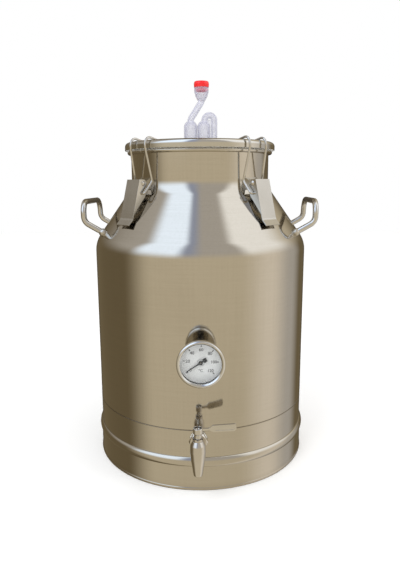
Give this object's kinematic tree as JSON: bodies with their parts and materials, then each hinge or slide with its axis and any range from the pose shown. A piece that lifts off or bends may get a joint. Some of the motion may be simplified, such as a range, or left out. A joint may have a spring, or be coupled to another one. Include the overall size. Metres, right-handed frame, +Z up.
{
  "type": "brew kettle",
  "caption": "Upright stainless brew kettle in milk-can form with a clamped lid, water-seal airlock, dial thermometer, drain tap and side handles.",
  "frame": {"origin": "on the kettle axis, in the plane of the foot ring's lower edge, which stands on the floor", "axes": "+Z up along the kettle axis; -Y toward the tap and thermometer; +X toward the right-hand handle seen from the front"},
  "size_m": [0.3802, 0.4026, 0.6164],
  "materials": {
    "polished_steel": "polished stainless with fine circumferential polishing lines",
    "lid_steel": "polished pressed stainless",
    "pressed_steel": "pressed stainless, satin",
    "steel_wire": "bright drawn stainless",
    "turned_steel": "turned and polished stainless",
    "lever_steel": "cast stainless, satin",
    "gauge_steel": "polished bezel",
    "silicone": "matte silicone",
    "clear_plastic": "clear moulded plastic",
    "gauge_glass": "flat clear glass",
    "red_plastic": "glossy moulded plastic",
    "dial_white": "white enamel",
    "pointer_black": "matt black"
  },
  "bodies": {
    "kettle": {"airlock_grommet": "silicone", "body_cylinder": "polished_steel", "body_neck": "polished_steel", "body_shoulder": "polished_steel", "bottom_floor": "polished_steel", "bottom_knuckle": "polished_steel", "bottom_wall": "polished_steel", "foot_ring": "polished_steel", "handle_left": "steel_wire", "handle_right": "steel_wire", "handle_welds": "steel_wire", "latch_bracket_1": "pressed_steel", "latch_bracket_2": "pressed_steel", "latch_bracket_3": "pressed_steel", "latch_bracket_4": "pressed_steel", "latch_rivets": "steel_wire", "lid": "lid_steel", "lid_gasket": "silicone", "tap_body": "turned_steel", "tap_inner_washer": "silicone", "tap_locknut": "turned_steel", "tap_nut": "turned_steel", "tap_stop_collar": "turned_steel", "tap_washer": "silicone", "thermo_bezel": "gauge_steel", "thermo_bimetal": "turned_steel", "thermo_case": "gauge_steel", "thermo_connector": "turned_steel", "thermo_dial": "dial_white", "thermo_glass": "gauge_glass", "thermo_seal": "silicone", "thermo_socket": "turned_steel", "thermo_stem": "turned_steel"},
    "lever_1": {"latch_lever_1": "pressed_steel"},
    "bail_1": {"latch_bail_1": "steel_wire"},
    "lever_2": {"latch_lever_2": "pressed_steel"},
    "bail_2": {"latch_bail_2": "steel_wire"},
    "lever_3": {"latch_lever_3": "pressed_steel"},
    "bail_3": {"latch_bail_3": "steel_wire"},
    "lever_4": {"latch_lever_4": "pressed_steel"},
    "bail_4": {"latch_bail_4": "steel_wire"},
    "tap_handle": {"tap_lever": "lever_steel", "tap_plug": "turned_steel", "tap_lever_nut": "turned_steel"},
    "gauge_pointer": {"thermo_pointer": "pointer_black", "thermo_spindle": "turned_steel"},
    "airlock": {"airlock_body": "clear_plastic"},
    "airlock_cap": {"airlock_cap": "red_plastic"}
  },
  "joints": [
    {"name": "lever_1_open", "type": "hinge", "parent": "kettle", "child": "lever_1", "pos_m": [-0.09508, -0.08866, 0.455], "axis": [-0.682, 0.7314, 0], "range_deg": [0, 95]},
    {"name": "bail_1_swing", "type": "hinge", "parent": "lever_1", "child": "bail_1", "pos_m": [-0.0968, -0.09027, 0.4401], "axis": [-0.682, 0.7314, 0], "range_deg": [-105, 0]},
    {"name": "lever_2_open", "type": "hinge", "parent": "kettle", "child": "lever_2", "pos_m": [0.08866, -0.09508, 0.455], "axis": [-0.7314, -0.682, 0], "range_deg": [0, 95]},
    {"name": "bail_2_swing", "type": "hinge", "parent": "lever_2", "child": "bail_2", "pos_m": [0.09027, -0.0968, 0.4401], "axis": [-0.7314, -0.682, 0], "range_deg": [-105, 0]},
    {"name": "lever_3_open", "type": "hinge", "parent": "kettle", "child": "lever_3", "pos_m": [0.09508, 0.08866, 0.455], "axis": [0.682, -0.7314, 0], "range_deg": [0, 95]},
    {"name": "bail_3_swing", "type": "hinge", "parent": "lever_3", "child": "bail_3", "pos_m": [0.0968, 0.09027, 0.4401], "axis": [0.682, -0.7314, 0], "range_deg": [-105, 0]},
    {"name": "lever_4_open", "type": "hinge", "parent": "kettle", "child": "lever_4", "pos_m": [-0.08866, 0.09508, 0.455], "axis": [0.7314, 0.682, 0], "range_deg": [0, 95]},
    {"name": "bail_4_swing", "type": "hinge", "parent": "lever_4", "child": "bail_4", "pos_m": [-0.09027, 0.0968, 0.4401], "axis": [0.7314, 0.682, 0], "range_deg": [-105, 0]},
    {"name": "tap_turn", "type": "hinge", "parent": "kettle", "child": "tap_handle", "pos_m": [-0.00444, -0.21195, 0.11], "axis": [0, 0, 1], "range_deg": [-90, 0]},
    {"name": "pointer_turn", "type": "hinge", "parent": "kettle", "child": "gauge_pointer", "pos_m": [0, -0.2085, 0.213], "axis": [0, 1, 0], "range_deg": [-5, 255], "stiffness_Nm_per_rad": 0.0005},
    {"name": "airlock_lift", "type": "slide", "parent": "kettle", "child": "airlock", "axis": [0, 0, 1], "range_m": [0, 0.06]},
    {"name": "cap_lift", "type": "slide", "parent": "airlock", "child": "airlock_cap", "axis": [0, 0, 1], "range_m": [0, 0.02]}
  ],
  "couplings": [
    {"joint": "bail_1_swing", "follows": "lever_1_open", "ratio": -1.1},
    {"joint": "bail_2_swing", "follows": "lever_2_open", "ratio": -1.1},
    {"joint": "bail_3_swing", "follows": "lever_3_open", "ratio": -1.1},
    {"joint": "bail_4_swing", "follows": "lever_4_open", "ratio": -1.1}
  ]
}
